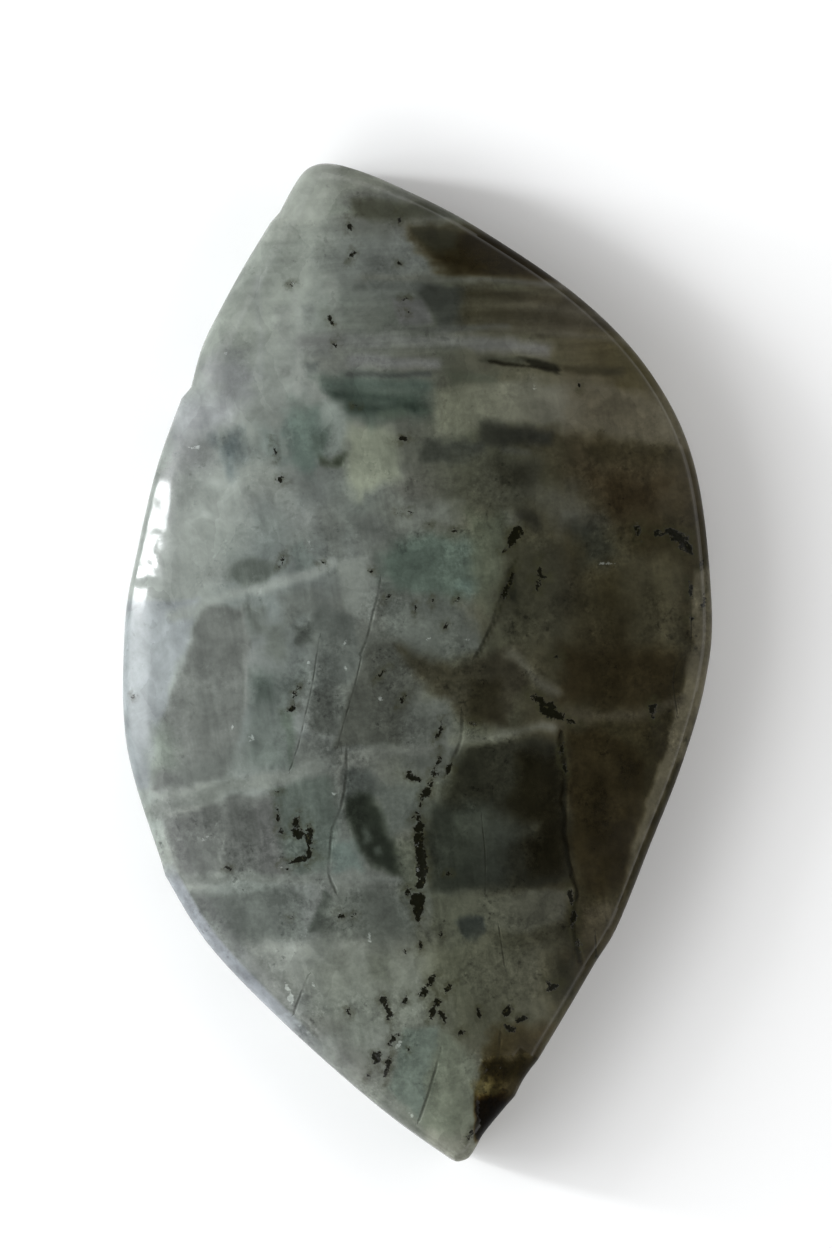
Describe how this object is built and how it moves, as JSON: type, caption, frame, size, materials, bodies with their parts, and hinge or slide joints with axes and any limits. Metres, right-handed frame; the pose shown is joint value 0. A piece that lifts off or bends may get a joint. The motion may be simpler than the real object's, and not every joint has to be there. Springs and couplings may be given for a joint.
{
  "type": "polished labradorite cabochon",
  "caption": "Polished, leaf-shaped labradorite cabochon with a low dome, a flat ground back and a chipped tip.",
  "frame": {"origin": "centre of the bounding box's underside, on the flat ground back", "axes": "+Z out of the polished face, along the shortest side; +Y from the sharp tip to the blunt nose, along the longest side; +X to the right as the face is looked at"},
  "size_m": [0.0308, 0.052, 0.0064],
  "materials": {
    "labradorite": "gloss"
  },
  "bodies": {
    "root": {"stone": "labradorite"}
  },
  "joints": []
}
